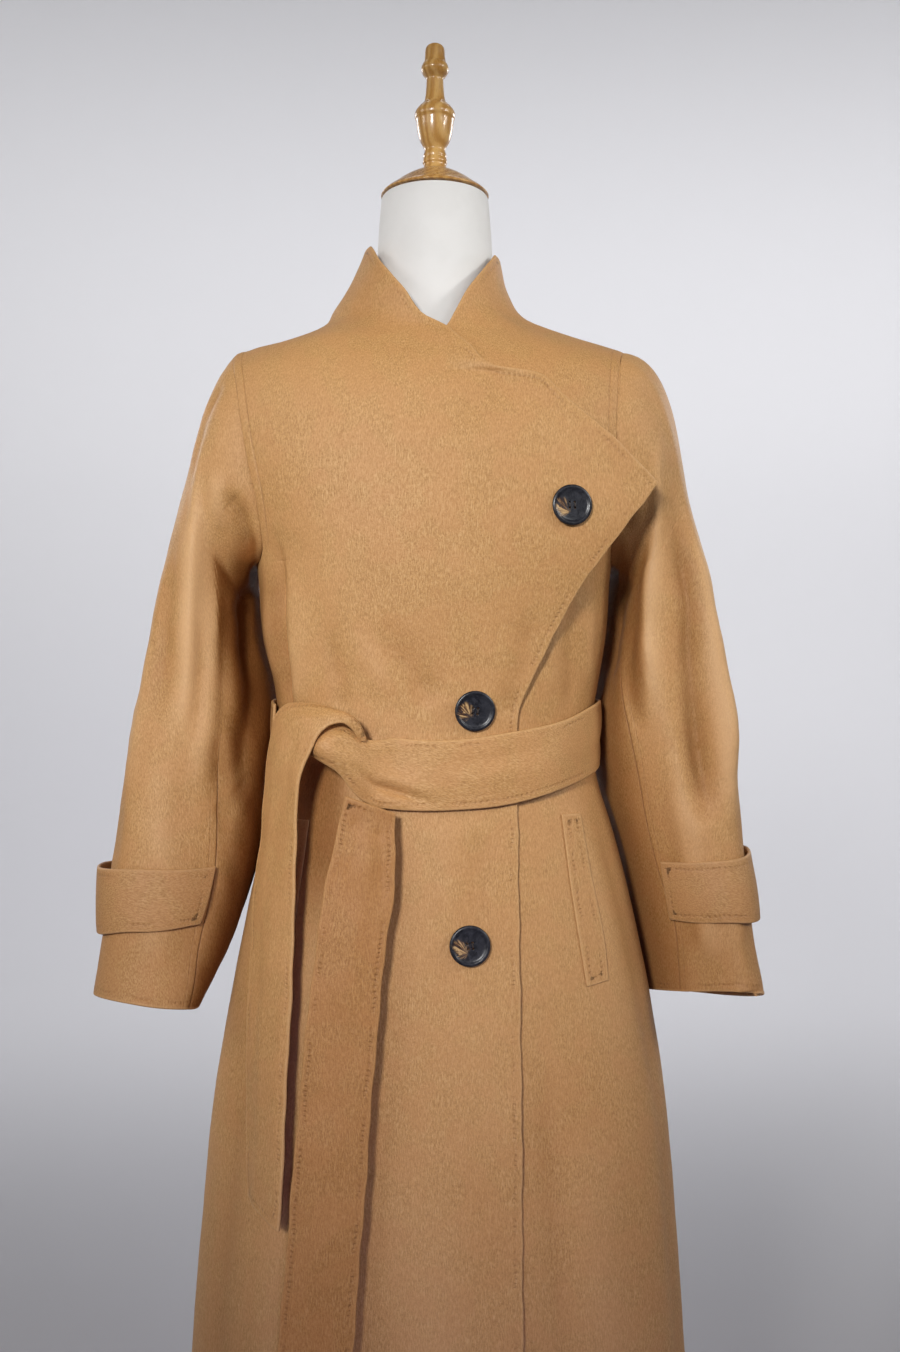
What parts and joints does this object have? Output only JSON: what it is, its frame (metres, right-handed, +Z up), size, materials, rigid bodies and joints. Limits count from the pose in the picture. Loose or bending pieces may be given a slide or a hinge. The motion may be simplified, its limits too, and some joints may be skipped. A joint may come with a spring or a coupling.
{
  "type": "belted wool wrap coat on a limbless dress form",
  "caption": "Long wool wrap coat with a stand collar, asymmetric buttoned lapel, tied belt, welt pockets and cuff straps, on a limbless dress form with a wooden cap and round stand.",
  "frame": {"origin": "middle of the round base's underside, on the floor under the form's pole", "axes": "+Z up along the pole, -Y out of the coat's front, +X towards the wearer's left"},
  "size_m": [0.6198, 0.35, 1.6726],
  "materials": {
    "wool": "matt brushed double-faced wool with a short nap",
    "horn": "polished dark marbled horn",
    "form_cover": "matt off-white jersey cover",
    "turned_wood": "satin varnished turned wood",
    "pole_metal": "satin steel tube"
  },
  "bodies": {
    "root": {"front_right": "wool", "front_left": "wool", "coat_back": "wool", "collar_back": "wool", "sleeve_upper_right": "wool", "sleeve_under_right": "wool", "sleeve_upper_left": "wool", "sleeve_under_left": "wool", "cuff_strap_right": "wool", "cuff_strap_left": "wool", "belt_band": "wool", "belt_knot": "wool", "belt_end_right": "wool", "belt_end_left": "wool", "pocket_welt_right": "wool", "pocket_welt_left": "wool", "button_1": "horn", "button_2": "horn", "button_3": "horn", "form_torso": "form_cover", "neck_cap": "turned_wood", "finial": "turned_wood", "pole": "pole_metal", "base": "turned_wood"}
  },
  "joints": []
}
